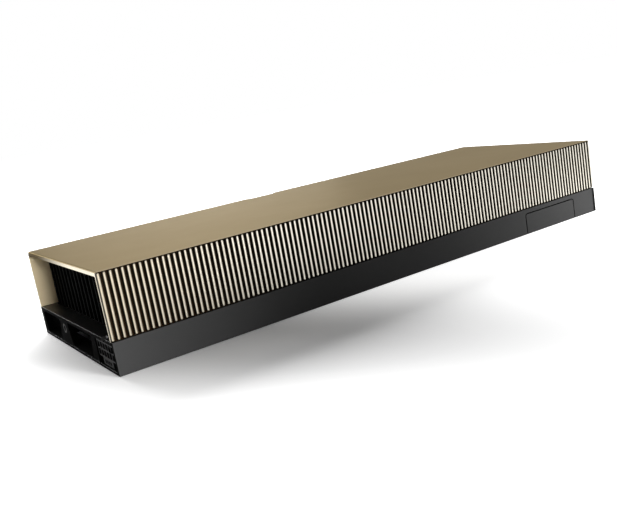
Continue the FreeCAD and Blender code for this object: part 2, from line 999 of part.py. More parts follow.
def make_capacitors():
    """Can capacitors, in two rows between the input chokes and the power rows."""
    height = z_deck - tall_part_gap - z_board_top
    cans = []
    for row in range(2):
        x = x_rear + capacitor_from_rear + row * capacitor_pitch
        for i in range(capacitors_per_row):
            y = y_mid + (i - (capacitors_per_row - 1) / 2) * capacitor_pitch
            foot = Vector(x, y, z_board_top)
            cans.append(Part.makeCylinder(capacitor_radius, height, foot))
    return cans


def make_controllers():
    x = x_rear + capacitor_from_rear + capacitor_pitch / 2
    size = controller_size
    return [
        on_board(x, y_mid + side * controller_offset, size, size, controller_thickness)
        for side in (-1, 1)
    ]


def make_sync_header():
    """Small shrouded header behind the access cover, its mouth to the cover."""
    wall = sync_wall
    half = sync_length / 2
    x = x_io - cover_from_io - cover_length / 2
    y0 = y_rib + frame_wall + board_side_gap + sync_setback
    y1 = y0 + sync_depth
    top = z_board_top + sync_height
    body = block(x - half, x + half, y0, y1, z_board_top, top)
    mouth = block(
        x - half + wall, x + half - wall, y0 - 1, y1 - sync_back_wall, z_board_top + wall, top - wall
    )
    return body.cut(mouth)


# ============================================================== power header
def header_bottom():
    return z_board_top - header_sink


def header_centre():
    return y_rib + header_from_rib + header_width / 2


def header_split():
    """Height where the sense row ends and the power rows start."""
    return header_bottom() + header_sense_height


def header_top():
    return z_deck - header_deck_gap


def cell_height():
    """The rows of cells share the height, with equal walls round them."""
    walls = (power_rows + 1) * cell_wall
    return (header_top() - header_split() - walls) / power_rows


def cell_centres():
    """(y, z, row, chamfered) of each power cell."""
    cells = []
    for row in range(power_rows):
        z = header_split() + cell_wall + cell_height() / 2 + row * (cell_height() + cell_wall)
        for i in range(cells_per_row):
            y = header_centre() + (i - (cells_per_row - 1) / 2) * cell_pitch
            cells.append((y, z, row, (i + row) % 2 == 0))
    return cells


def sense_centres():
    return [
        header_centre() + (i - (sense_count - 1) / 2) * sense_pitch for i in range(sense_count)
    ]


def power_pin_shapes():
    """Square pins that run back through the housing and down to the board."""
    x0 = x_rear + header_face + pin_setback
    back = x_rear + header_face + header_depth
    half = power_pin / 2
    pins = []
    for y, z, row, chamfered in cell_centres():
        heel = back + pin_heel + row * pin_heel_step
        outline = [
            (x0, z - half), (heel, z - half), (heel, z_board_top),
            (heel + power_pin, z_board_top), (heel + power_pin, z + half), (x0, z + half),
        ]
        pins.append(prism_y(outline, y - half, y + half))
    return pins


def sense_pin_shapes():
    """Thin pins that step up from the housing onto the board."""
    x0 = x_rear + header_face + pin_setback
    back = x_rear + header_face + header_depth
    z = header_bottom() + sense_row
    half = sense_pin / 2
    land = back + header_clearance * 2
    outline = [
        (x0, z - half), (back + sense_pin, z - half), (back + sense_pin, z_board_top),
        (land, z_board_top), (land, z_board_top + sense_pin),
        (back, z_board_top + sense_pin), (back, z + half), (x0, z + half),
    ]
    return [prism_y(outline, y - half, y + half) for y in sense_centres()]


def make_power_socket():
    """Header housing: two rows of six cells, a sense row below, a latch catch."""
    x0 = x_rear + header_face
    x1 = x0 + header_depth
    low = header_bottom()
    split = header_split()
    top = header_top()
    centre = header_centre()
    main = block(x0, x1, centre - header_width / 2, centre + header_width / 2, split, top)
    main = round_along(main, Vector(1, 0, 0), cell_chamfer, lambda p: True)
    half = header_sense_width / 2
    sense = block(x0, x1, centre - half, centre + half, low, split + cell_chamfer * 2)
    foot = x0 + latch_setback
    ramp = [
        (foot, top),
        (foot + latch_length, top),
        (foot + latch_length, frame_height + latch_rise),
        (foot + latch_slope, frame_height + latch_rise),
    ]
    ledge = y_rib + notch_centre
    catch = prism_y(ramp, ledge - latch_width / 2, ledge + latch_width / 2)
    housing = merge([main, sense, catch])
    for y, z, row, chamfered in cell_centres():
        housing = housing.cut(power_cell(y, z, chamfered, x0))
    for y in sense_centres():
        half = sense_cell / 2
        z = low + sense_row
        housing = housing.cut(
            block(x0 - 1, x0 + cell_depth, y - half, y + half, z - half, z + half)
        )
    for pin in power_pin_shapes() + sense_pin_shapes():
        housing = housing.cut(pin)
    return housing


def power_cell(y, z, chamfered, x0):
    """One cell: square, or with its two upper corners cut off for keying."""
    w = cell_width / 2
    h = cell_height() / 2
    c = cell_chamfer
    outline = [(y - w, z - h), (y + w, z - h)]
    if chamfered:
        outline += [(y + w, z + h - c), (y + w - c, z + h), (y - w + c, z + h), (y - w, z + h - c)]
    else:
        outline += [(y + w, z + h), (y - w, z + h)]
    return prism_x(outline, x0 - 1, x0 + cell_depth)


# ============================================================== display end
def socket_centres():
    """Y of each display socket, spread evenly between the end plate's screws."""
    first = y_rib + socket_margin + socket_width / 2
    last = y_low - socket_margin - socket_width / 2
    step = (last - first) / (socket_count - 1)
    return [first + i * step for i in range(socket_count)]


def socket_outline(y, grow):
    """Display socket seen from its mouth, one upper corner cut off."""
    w = socket_width / 2 + grow
    low = z_board_top - grow
    high = z_board_top + socket_height + grow
    return [
        (y - w, low), (y + w, low), (y + w, high), (y - w + socket_chamfer, high),
        (y - w, high - socket_chamfer),
    ]


def make_sockets():
    x1 = x_io - socket_recess
    x0 = x1 - socket_depth
    shells = []
    for y in socket_centres():
        shell = prism_x(socket_outline(y, 0), x0, x1)
        shells.append(shell.cut(prism_x(socket_outline(y, -socket_wall), x0 + socket_back, x1 + 1)))
    return shells


def make_blades():
    """Contact blade of each display socket, standing out of its back wall."""
    x1 = x_io - socket_recess
    z = z_board_top + socket_height / 2
    half = blade_thickness / 2
    return [
        block(
            x1 - socket_depth + socket_back, x1 - blade_setback,
            y - blade_width / 2, y + blade_width / 2, z - half, z + half,
        )
        for y in socket_centres()
    ]


def make_end_plate():
    """Thin end plate: sockets in the lower part, exhaust slots in the upper."""
    low = block(x_frame_end, x_io, y_rib, y_low, 0, frame_height)
    near = y_rib_inner + end_plate_gap
    far = y_low - side_wall - end_plate_gap
    high = block(x_frame_end, x_io, near, far, frame_height, z_duct_top - end_plate_gap)
    high = round_along(
        high, Vector(1, 0, 0), bend_radius - side_wall,
        lambda p: p.z > frame_height + 1 and p.y > y_mid,
    )
    plate = merge([low, high])
    for y in socket_centres():
        plate = plate.cut(prism_x(socket_outline(y, socket_gap), x_frame_end - 1, x_io + 1))
    half = vent_width / 2
    for y in fin_lines()[:-1]:
        y += fin_pitch / 2
        slot = block(
            x_frame_end - 1, x_io + 1, y - half, y + half,
            frame_height + vent_margin, z_duct_top - vent_margin,
        )
        rounded = round_along(slot, Vector(1, 0, 0), half - nick, lambda p: True)
        plate = plate.cut(rounded)
    for centre in lug_centres():
        plate = plate.cut(
            countersunk(
                centre, Vector(-1, 0, 0), end_plate_thickness * 2, screw_radius,
                screw_head_radius, screw_head_height, screw_clearance,
            )
        )
    return plate


# =================================================================== screws
def make_backplate_screws():
    length = z_board_top + post_bore_depth - screw_end_gap
    return [
        countersunk(
            Vector(x, y, 0), Vector(0, 0, 1), length, screw_radius, screw_head_radius,
            screw_head_height,
        )
        for x, y in post_places()
    ]


def make_cooler_screws():
    length = z_plate - backplate_thickness
    return [
        countersunk(
            Vector(x, y, 0), Vector(0, 0, 1), length, cooler_screw_radius,
            cooler_head_radius, cooler_head_height,
        )
        for x, y in leg_places()
    ]


def make_shroud_screws():
    length = deck_ledge
    return [
        countersunk(
            place, Vector(0, -1, 0), length, screw_radius, screw_head_radius,
            screw_head_height,
        )
        for place in side_screw_places()
    ]


def make_end_plate_screws():
    length = end_plate_thickness + lug_bore_depth - 1
    return [
        countersunk(
            centre, Vector(-1, 0, 0), length, screw_radius, screw_head_radius,
            screw_head_height,
        )
        for centre in lug_centres()
    ]


# =================================================================== output
makers = {
    "shroud": make_shroud,
    "base_frame": make_frame,
    "rear_panel": make_rear_panel,
    "access_cover": make_cover,
    "backplate": make_backplate,
    "heatsink": make_heatsink,
    "power_socket": make_power_socket,
    "power_pins": power_pin_shapes,
    "sense_pins": sense_pin_shapes,
    "rear_insert": make_insert,
    "end_plate": make_end_plate,
    "circuit_board": make_board,
    "edge_contacts": make_pads,
    "processor_package": make_package,
    "package_stiffener": make_stiffener,
    "processor_die": make_die,
    "thermal_interface": make_paste,
    "vapour_chamber": make_chamber,
    "memory_chips": make_memory,
    "memory_pads": make_memory_pads,
    "power_chokes": make_chokes,
    "choke_pads": make_choke_pads,
    "power_stages": make_stages,
    "input_chokes": make_input_chokes,
    "capacitors": make_capacitors,
    "controller_chips": make_controllers,
    "sync_header": make_sync_header,
    "display_sockets": make_sockets,
    "display_blades": make_blades,
    "backplate_screws": make_backplate_screws,
    "cooler_screws": make_cooler_screws,
    "shroud_screws": make_shroud_screws,
    "end_plate_screws": make_end_plate_screws,
}

os.makedirs("parts", exist_ok=True)
for node, make in makers.items():
    export(node, make())
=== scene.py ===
"""Looks of the passive accelerator card: finishes, fine edges, floor, light and camera.

Metres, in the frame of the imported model: X along the card from the duct's mouth
to the display end, Y from the ribbed side to the slot tongue, Z up. The rear end
is the one with the duct's mouth.
"""
import json
import math

import bmesh
import bpy
from mathutils import Euler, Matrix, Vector


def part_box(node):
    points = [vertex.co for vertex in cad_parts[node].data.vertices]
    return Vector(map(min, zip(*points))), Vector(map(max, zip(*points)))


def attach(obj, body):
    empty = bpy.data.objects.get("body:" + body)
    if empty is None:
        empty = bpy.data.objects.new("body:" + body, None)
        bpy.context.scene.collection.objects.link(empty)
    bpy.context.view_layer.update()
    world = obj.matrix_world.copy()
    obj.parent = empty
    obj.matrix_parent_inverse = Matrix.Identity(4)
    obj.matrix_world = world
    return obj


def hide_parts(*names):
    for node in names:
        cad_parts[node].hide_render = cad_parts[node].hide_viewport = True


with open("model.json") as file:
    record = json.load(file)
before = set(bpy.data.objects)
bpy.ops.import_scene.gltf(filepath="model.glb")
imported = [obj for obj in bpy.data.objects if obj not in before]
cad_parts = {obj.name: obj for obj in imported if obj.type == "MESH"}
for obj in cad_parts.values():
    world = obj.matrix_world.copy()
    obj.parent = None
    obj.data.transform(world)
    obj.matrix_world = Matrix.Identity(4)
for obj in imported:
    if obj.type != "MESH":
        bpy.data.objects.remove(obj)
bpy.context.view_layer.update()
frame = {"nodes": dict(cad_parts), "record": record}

MM = 0.001
TOUCHING = 0.0005 * MM    # vertices this near to each other are one
ON_PLANE = 0.001 * MM     # a vertex this near to a cut lies on it
ON_END = 0.01 * MM        # a face or edge this near to an end lies on it

# ------------------------------------------------------- sizes, from the frame
SHROUD_LOW, SHROUD_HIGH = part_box("shroud")
X_REAR, X_IO = SHROUD_LOW.x, SHROUD_HIGH.x
Y_RIB, Y_FAR = SHROUD_LOW.y, SHROUD_HIGH.y
Z_DECK, Z_TOP = SHROUD_LOW.z, SHROUD_HIGH.z

RIB_COUNT = 124
RIB_PITCH = 2.16 * MM
RIB_RADIUS = 0.55 * MM    # of a rib's crest and of its ends
RIB_DEPTH = 1.4 * MM      # crest to the wall behind the ribs
RIB_ROOT = 0.2 * MM       # hidden in that wall
RIB_FOOT = 0.3 * MM       # shroud's lower edge to the ribs' tips
RIB_LIP = 0.45 * MM       # top plate above the ribs
RIB_TURNS = 8             # steps round each end of a rib
RIB_RINGS = 5             # steps from a rib's side to its crest
RIB_END_HIGH = Z_TOP - RIB_LIP - RIB_RADIUS
RIB_END_LOW = Z_DECK + RIB_FOOT + RIB_RADIUS
Y_WALL = Y_RIB + RIB_DEPTH

MOUTH_TOP = 2.2 * MM      # height of the mouth's cut top edge
MOUTH_ROUND = 0.45 * MM
ROUND_REACH = 0.6 * MM    # the faces of that rounding lie within this of X_REAR
WALL_REACH = 4 * MM       # the far wall and its bend lie within this of Y_FAR
DARK_END = 1.9 * MM       # the tray's dark stretch at the display end
REAR_REACH = 12 * MM      # faces of the rear end lie within this of X_REAR
EDGE_HIGHLIGHT_REACH = 3 * MM       # and its edges with a painted highlight within this

# How much of a face's normal points one way, for a face that is tilted that way,
# looks that way, or is square to it.
TILTED = 0.3
FACING = 0.9
SQUARE = 0.98


# ==================================================================== nodes
# Bumps of each noise to the metre: drifting colour, worn patches, and fine grain.
CLOUDS = 18.0
PATCHES = 55.0
GOLD_PATCHES = 60.0
GOLD_GRAIN = 2600.0
COAT_GRAIN = 2200.0
PLAIN_GRAIN = 900.0


class Shader:
    """A new material, with short ways to add and join its nodes."""

    def __init__(self, name):
        self.material = bpy.data.materials.new(name)
        self.material.use_nodes = True
        self.tree = self.material.node_tree
        self.tree.nodes.clear()
        self.output = self.add("ShaderNodeOutputMaterial")
        self.surface = self.add("ShaderNodeBsdfPrincipled")
        self.join(self.surface, 0, self.output, 0)

    def add(self, kind, **settings):
        node = self.tree.nodes.new(kind)
        for name, value in settings.items():
            setattr(node, name, value)
        return node

    def join(self, source, out, target, socket):
        self.tree.links.new(source.outputs[out], target.inputs[socket])

    def set(self, **values):
        """Set the surface's sockets, whose names have _ for each space."""
        for name, value in values.items():
            self.surface.inputs[name.replace("_", " ")].default_value = value

    def noise(self, scale, detail):
        """Noise over the piece, with about scale bumps to the metre."""
        node = self.add("ShaderNodeTexNoise")
        node.inputs["Scale"].default_value = scale
        node.inputs["Detail"].default_value = detail
        node.inputs["Roughness"].default_value = 0.55
        self.join(self.add("ShaderNodeTexCoord"), "Object", node, "Vector")
        return node

    def spread(self, source, out, low, high, start=0.3, end=0.7):
        """Map the range start to end to the range low to high."""
        node = self.add("ShaderNodeMapRange")
        node.inputs["From Min"].default_value = start
        node.inputs["From Max"].default_value = end
        node.inputs["To Min"].default_value = low
        node.inputs["To Max"].default_value = high
        self.join(source, out, node, "Value")
        return node

    def blend(self, factor, low, high):
        """Colour between low and high, by a factor that a spread gives."""
        node = self.add("ShaderNodeMix", data_type="RGBA")
        node.inputs["A"].default_value = (*low, 1.0)
        node.inputs["B"].default_value = (*high, 1.0)
        self.join(factor, "Result", node, "Factor")
        return node

    def drift(self, colour, shade):
        """A colour that drifts to a shade of it over a few centimetres."""
        clouds = self.spread(self.noise(CLOUDS, 4.0), "Fac", 0.0, 1.0)
        return self.blend(clouds, colour, shade)

    def wear(self, scale, roughness, swing):
        """Roughness that varies by swing from place to place."""
        patches = self.noise(scale, 5.0)
        rough = self.spread(patches, "Fac", roughness - swing, roughness + swing)
        self.join(rough, "Result", self.surface, "Roughness")

    def grain(self, scale, strength):
        """Fine bumps all over, about scale of them to the metre."""
        bump = self.add("ShaderNodeBump")
        bump.inputs["Strength"].default_value = strength
        bump.inputs["Distance"].default_value = 0.02 * MM
        self.join(self.noise(scale, 2.0), "Fac", bump, "Height")
        self.join(bump, "Normal", self.surface, "Normal")


def seen_rays(tree):
    """Socket that is 1 for camera, glossy and transmission rays, and else 0."""
    rays = tree.nodes.new("ShaderNodeLightPath")
    seen = rays.outputs["Is Camera Ray"]
    for kind in ("Is Glossy Ray", "Is Transmission Ray"):
        either = tree.nodes.new("ShaderNodeMath")
        either.operation = "MAXIMUM"
        tree.links.new(seen, either.inputs[0])
        tree.links.new(rays.outputs[kind], either.inputs[1])
        seen = either.outputs[0]
    return seen


def srgb(red, green, blue):
    """Linear colour from 0 to 255 display values."""

    def linear(value):
        value /= 255.0
        if value <= 0.04045:
            return value / 12.92
        return ((value + 0.055) / 1.055) ** 2.4

    return (linear(red), linear(green), linear(blue))


# ================================================================ materials
def grained(name, colour, shade, metallic, roughness, grain, depth, gloss=0.5):
    """A finish with fine grain. Gloss goes from 0.5 for plain varnish to 0 for none."""
    shader = Shader(name)
    shader.join(shader.drift(colour, shade), "Result", shader.surface, "Base Color")
    shader.wear(PATCHES, roughness, 0.06)
    shader.grain(grain, depth)
    shader.set(Metallic=metallic, Specular_IOR_Level=gloss)
    return shader.material


def satin_black(name, level, roughness, gloss):
    """Black powder coat, level from 0 to 255."""
    shade = level - 3
    return grained(
        name, srgb(level, level, level), srgb(shade, shade, shade), 0.0, roughness,
        COAT_GRAIN, 0.3, gloss,
    )


def plain_grained(name, colour, metallic, roughness):
    """The finish of a part inside the card, its colour in 0 to 255 display values."""
    shade = [max(0, value - 12) for value in colour]
    return grained(
        name, srgb(*colour), srgb(*shade), metallic, roughness, PLAIN_GRAIN, 0.2,
    )


GOLD = srgb(178, 164, 138)          # the shroud's top and plain sides
GOLD_SHADE = srgb(173, 159, 133)
CREST = srgb(236, 231, 217)         # painted light: a lighter copy of the gold on the ribs' crests and the cut edges
CREST_SHADE = srgb(230, 224, 210)
PAINTED_MOUTH_SHADE = srgb(206, 195, 172)          # painted shade: darker crests next to the mouth
GROOVE_PAINTED_SHADE = srgb(25, 19, 11)            # painted shade: the grooves between the ribs
GROOVE_PAINTED_SHADE_TONE = srgb(24, 13, 5)
BEND = srgb(150, 141, 124)          # painted shade: the rounding along the mouth's top
BEND_SHADE = srgb(144, 135, 118)
UMBER = srgb(58, 47, 34)            # painted shade: the mouth's cut edge at the bend
PALE = srgb(240, 222, 184)          # painted reflection: the duct's side wall, bright at the mouth
PALE_SHADE = srgb(233, 214, 176)
TAN = srgb(128, 108, 78)            # painted shade: the same wall further in

# The metal's tint at low angles, linear.
GOLD_EDGE = (0.32, 0.284, 0.218, 1.0)
# The ribs' tint is dark too, to keep their grooves' painted shade dark at low angles.
GROOVE_EDGE = (0.08, 0.07, 0.06, 1.0)
LIP_EDGE = (0.45, 0.43, 0.38, 1.0)


def champagne(name, colour, shade, edge=GOLD_EDGE):
    """Champagne anodised aluminium, bead blasted to a satin.

    Returns the shader, and the node of its colour for the caller to join.
    """
    shader = Shader(name)
    tint = shader.drift(colour, shade)
    shader.wear(GOLD_PATCHES, 0.4, 0.02)
    shader.grain(GOLD_GRAIN, 0.2)
    shader.set(Metallic=1.0, Specular_Tint=edge)
    return shader, tint


def plain_gold(name, colour, shade):
    shader, tint = champagne(name, colour, shade)
    shader.join(tint, "Result", shader.surface, "Base Color")
    return shader.material


def faded_gold(name, colour, shade, deep, axis, start, end, mouth_shade=None, edge=GOLD_EDGE):
    """The same finish, going over to a deeper colour, a painted shade, along one axis.

    With mouth_shade, the colour starts from that painted shade at the rear end of the
    card. Returns the shader, and the node of the place on the card.
    """
    shader, tint = champagne(name, colour, shade, edge)
    place = shader.add("ShaderNodeSeparateXYZ")
    shader.join(shader.add("ShaderNodeTexCoord"), "Object", place, 0)
    if mouth_shade:
        near = shader.spread(place, "X", 1.0, 0.0, X_REAR, X_REAR + 75 * MM)
        mouth_shaded = shader.blend(near, colour, mouth_shade)
        shader.join(tint, "Result", mouth_shaded, "A")
        tint = mouth_shaded
    fade = shader.spread(place, axis, 0.0, 1.0, start, end)
    fade.interpolation_type = "SMOOTHSTEP"
    tone = shader.blend(fade, colour, deep)
    shader.join(tint, "Result", tone, "A")
    shader.join(tone, "Result", shader.surface, "Base Color")
    return shader, place


def lip_gold(name):
    """The mouth's cut top edge: a painted highlight that darkens to painted shade towards
    the bend.
    """
    start, end = Y_FAR - 72 * MM, Y_FAR - 14 * MM
    shader, _ = faded_gold(
        name, CREST, CREST_SHADE, UMBER, "Y", start, end, edge=LIP_EDGE,
    )
    return shader.material


def inner_gold(name):
    """The duct's plain side wall: a painted reflection at the mouth that darkens to
    painted shade towards the fins.
    """
    start, end = X_REAR, X_REAR + 16 * MM
    shader, _ = faded_gold(name, PALE, PALE_SHADE, TAN, "X", start, end)
    return shader.material


def ribbed_gold(name):
    """Painted light and shade: bright crests, a painted dull dark brown down in the
    grooves, darker crests by the mouth.
    """
    start, end = Y_RIB + 0.02 * MM, Y_RIB + 0.33 * MM
    shader, place = faded_gold(
        name, CREST, CREST_SHADE, GROOVE_PAINTED_SHADE, "Y", start, end, PAINTED_MOUTH_SHADE, GROOVE_EDGE,
    )
    # The painted groove shade is also not metal, so that it stays dark.
    metal = shader.spread(place, "Y", 1.0, 0.0, Y_RIB + 0.12 * MM, Y_RIB + 0.42 * MM)
    shader.join(metal, "Result", shader.surface, "Metallic")
    shader.set(Specular_IOR_Level=0.08)
    return shader.material


FINISHES = {
    # the gold shroud: its flats, then lighter and darker copies of it as painted light and
    # shade
    "shroud_gold": (plain_gold, GOLD, GOLD_SHADE),
    "shroud_gold_edge": (plain_gold, CREST, CREST_SHADE),
    "shroud_gold_ribs": (ribbed_gold,),
    "shroud_gold_bend": (plain_gold, BEND, BEND_SHADE),
    "shroud_gold_lip": (lip_gold,),
    "shroud_gold_inner": (inner_gold,),
    # painted shade in the grooves and under the top's lip
    "groove_painted_shade": (grained, GROOVE_PAINTED_SHADE, GROOVE_PAINTED_SHADE_TONE, 0.0, 0.8, PLAIN_GRAIN, 0.2, 0.05),
    # the black castings and plates: level, roughness, gloss
    "frame_black": (satin_black, 44, 0.42, 0.1),
    # painted shade, a darker copy of the frame's black for faces in shade
    "black_painted_shade": (satin_black, 12, 0.8, 0.005),
    # painted highlight along the rear edges
    "black_painted_highlight": (satin_black, 64, 0.35, 0.3),
    # painted shade on the deck under the shroud
    "deck_painted_shade": (satin_black, 9, 0.38, 0.05),
    "backplate_black": (satin_black, 18, 0.42, 0.1),
    "end_plate_black": (satin_black, 9, 0.5, 0.04),
    # fins, plugs and small metal: colour, shade, metallic, roughness, grain, depth, gloss
    "heatsink_black": (
        grained, srgb(9, 9, 9), srgb(6, 6, 6), 0.0, 0.75, PLAIN_GRAIN, 0.3, 0.01,
    ),
    "plastic_black": (
        grained, srgb(15, 15, 15), srgb(11, 11, 11), 0.0, 0.5, 1500.0, 0.4, 0.06,
    ),
    "contact_gold": (
        grained, srgb(224, 184, 96), srgb(205, 160, 72), 1.0, 0.28, 1200.0, 0.1,
    ),
    "insert_brass": (
        grained, srgb(26, 25, 22), srgb(20, 19, 16), 0.4, 0.55, PLAIN_GRAIN, 0.1, 0.05,
    ),
    "board_black": (grained, srgb(20, 26, 22), srgb(14, 18, 15), 0.0, 0.3, 700.0, 0.3),
    "socket_steel": (
        grained, srgb(190, 188, 182), srgb(170, 168, 162), 1.0, 0.3, 800.0, 0.1,
    ),
    "screw_black": (
        grained, srgb(52, 52, 54), srgb(38, 38, 40), 0.8, 0.38, PLAIN_GRAIN, 0.2,
    ),
    # inside the card: colour, metallic, roughness
    "package_dark": (plain_grained, (34, 60, 40), 0.0, 0.5),
    "stiffener_steel": (plain_grained, (170, 170, 168), 1.0, 0.35),
    "silicon": (plain_grained, (70, 72, 84), 0.6, 0.15),
    "paste_grey": (plain_grained, (160, 160, 158), 0.0, 0.6),
    "copper": (plain_grained, (196, 122, 88), 1.0, 0.35),
    "chip_black": (plain_grained, (34, 34, 35), 0.0, 0.5),
    "pad_grey": (plain_grained, (140, 150, 158), 0.0, 0.8),
    "choke_grey": (plain_grained, (80, 80, 82), 0.3, 0.6),
    "can_silver": (plain_grained, (196, 196, 198), 1.0, 0.35),
}

MATERIALS = {name: make(name, *values) for name, (make, *values) in FINISHES.items()}
SLOT_OF = {part["node"]: part["material_slot"] for part in frame["record"]["subparts"]}


def dress_nodes():
    """Every node of the frame takes the material of its slot."""
    for name, slot in SLOT_OF.items():
        node = frame["nodes"][name]
        node.data.materials.clear()
        node.data.materials.append(MATERIALS[slot])


# ========================================================= fine-edged pieces
def add_piece(name, bm, node, finish=None):
    """Turn a bmesh into a piece that stands for a node of the frame."""
    mesh = bpy.data.meshes.new(name)
    bm.to_mesh(mesh)
    bm.free()
    piece = bpy.data.objects.new(name, mesh)
    bpy.context.scene.collection.objects.link(piece)
    mesh.materials.append(MATERIALS[finish or SLOT_OF[node]])
    mesh.shade_smooth()
    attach(piece, "root")
    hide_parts(node)
    return piece


def whole_faces(mesh):
    """The mesh as a bmesh, each of its flats in one face."""
    bm = bmesh.new()
    bm.from_mesh(mesh)
    bmesh.ops.remove_doubles(bm, verts=bm.verts, dist=TOUCHING)
    bmesh.ops.dissolve_limit(
        bm, angle_limit=math.radians(0.4), verts=bm.verts, edges=bm.edges,
        use_dissolve_boundaries=False,
    )
    return bm


def node_copy(node):
    return whole_faces(frame["nodes"][node].data)


def fine_edges(piece, width, segments=2):
    """Round every sharp edge of the piece by width, and keep its flats flat."""
    bevel = piece.modifiers.new("edges", "BEVEL")
    bevel.width = width
    bevel.segments = segments
    bevel.limit_method = "ANGLE"
    bevel.angle_limit = math.radians(35)
    bevel.use_clamp_overlap = True
    bevel.miter_outer = "MITER_ARC"
    even = piece.modifiers.new("flats", "WEIGHTED_NORMAL")
    even.weight = 100
    even.keep_sharp = True
    return piece


def soften(node, width, finish=None):
    """A piece that is the node's own shape, with fine rounded edges."""
    piece = add_piece(node + "_fine", node_copy(node), node, finish)
    return fine_edges(piece, width)


def settle(piece):
    """Apply the piece's modifiers to its mesh."""
    depsgraph = bpy.context.evaluated_depsgraph_get()
    mesh = bpy.data.meshes.new_from_object(piece.evaluated_get(depsgraph))
    piece.modifiers.clear()
    piece.data = mesh
    return mesh


def paint(mesh, choose, *finishes):
    """Give a face the finish that choose names for it. None leaves it as it is."""
    first = len(mesh.materials)
    for finish in finishes:
        mesh.materials.append(MATERIALS[finish])
    for face in mesh.polygons:
        finish = choose(face.center, face.normal)
        if finish:
            face.material_index = first + finishes.index(finish)


def paint_rear(piece):
    """Painted shade: matt black on the rear end, the deck and other upward faces; and a
    painted highlight, a lighter line along the rear edges.
    """

    def choose(middle, normal):
        tilted = normal.x < -TILTED and normal.z > TILTED
        if tilted and middle.x < X_REAR + EDGE_HIGHLIGHT_REACH:
            return "black_painted_highlight"
        if normal.x < -FACING and middle.x < X_REAR + REAR_REACH:
            return "black_painted_shade"
        # Upward faces, mostly under the shroud, take painted shade.
        if normal.z > FACING:
            on_deck = abs(middle.z - Z_DECK) < 0.2 * MM
            return "deck_painted_shade" if on_deck else "black_painted_shade"
        return None

    paint(settle(piece), choose, "black_painted_shade", "black_painted_highlight", "deck_painted_shade")


def make_cover():
    """The access cover, all but its outer face darkened with painted shade, so that its
    seam reads.
    """

    def choose(_, normal):
        return "black_painted_shade" if normal.y > -0.8 else None

    cover = soften("access_cover", 0.12 * MM)
    paint(settle(cover), choose, "black_painted_shade")


def make_tray():
    """The cast frame, its last stretch at the display end as dark as the end plate."""
    edge = X_IO - DARK_END

    def choose(middle, normal):
        return "end_plate_black" if middle.x > edge and normal.z < FACING else None

    bm = node_copy("base_frame")
    bmesh.ops.bisect_plane(
        bm, geom=bm.verts[:] + bm.edges[:] + bm.faces[:],
        plane_co=(edge, 0, 0), plane_no=(1, 0, 0), dist=ON_PLANE,
    )
    tray = add_piece("base_frame_fine", bm, "base_frame")
    paint_rear(fine_edges(tray, 0.14 * MM))
    paint(tray.data, choose, "end_plate_black")


# ---------------------------------------------------------------- the shroud
def rib_outline(radius):
    """Stadium in X and Z round a rib's axis, as distances in X and heights."""
    points = []
    for z, start in ((RIB_END_HIGH, 0.0), (RIB_END_LOW, math.pi)):
        for i in range(RIB_TURNS + 1):
            angle = start + math.pi * i / RIB_TURNS
            points.append((radius * math.cos(angle), z + radius * math.sin(angle)))
    return points


def rib_sections():
    """Radius, and depth behind the crest, of each outline from the root forward."""
    sections = [(RIB_RADIUS, RIB_DEPTH + RIB_ROOT), (RIB_RADIUS, RIB_RADIUS)]
    for i in range(1, RIB_RINGS):
        angle = math.pi / 2 * i / RIB_RINGS
        sections.append((RIB_RADIUS * math.cos(angle), RIB_RADIUS * (1 - math.sin(angle))))
    return sections


def add_rib(bm, x):
    """One upright rib, closed, with a half-round crest and rounded ends."""
    last = None
    for radius, depth in rib_sections():
        ring = [bm.verts.new((x + dx, Y_RIB + depth, z)) for dx, z in rib_outline(radius)]
        count = len(ring)
        if last is None:
            bm.faces.new(ring)
        else:
            for i in range(count):
                j = (i + 1) % count
                bm.faces.new((last[i], last[j], ring[j], ring[i]))
        last = ring
    half = count // 2
    tips = [bm.verts.new((x, Y_RIB, z)) for z in (RIB_END_HIGH, RIB_END_LOW)]
    for side, tip in enumerate(tips):
        start = side * half
        for i in range(start, start + half - 1):
            bm.faces.new((last[i], last[i + 1], tip))
        after = (start + half) % count
        bm.faces.new((last[start + half - 1], last[after], tips[1 - side], tip))


def make_ribs():
    bm = bmesh.new()
    for rib in range(RIB_COUNT):
        add_rib(bm, (rib - (RIB_COUNT - 1) / 2) * RIB_PITCH)
    bmesh.ops.recalc_face_normals(bm, faces=bm.faces)
    add_piece("shroud_ribs", bm, "shroud", "shroud_gold_ribs")


def box_cutter(low, high):
    """A box for a boolean to cut with, deleted afterwards."""
    bm = bmesh.new()
    bmesh.ops.create_cube(bm, size=1.0)
    for vert in bm.verts:
        for axis in range(3):
            vert.co[axis] = low[axis] if vert.co[axis] < 0 else high[axis]
    mesh = bpy.data.meshes.new("cutter")
    bm.to_mesh(mesh)
    bm.free()
    cutter = bpy.data.objects.new("cutter", mesh)
    bpy.context.scene.collection.objects.link(cutter)
    return cutter


def cut_ribs(hood):
    """Cut the solid's own ribs away, down to the wall behind them."""
    cutter = box_cutter(
        (X_REAR - MM, Y_RIB - MM, Z_DECK - MM),
        (X_IO + MM, Y_WALL, Z_TOP - RIB_LIP),
    )
    cut = hood.modifiers.new("cut", "BOOLEAN")
    cut.operation = "DIFFERENCE"
    cut.solver = "EXACT"
    cut.object = cutter
    mesh = settle(hood)
    bpy.data.objects.remove(cutter)
    return mesh


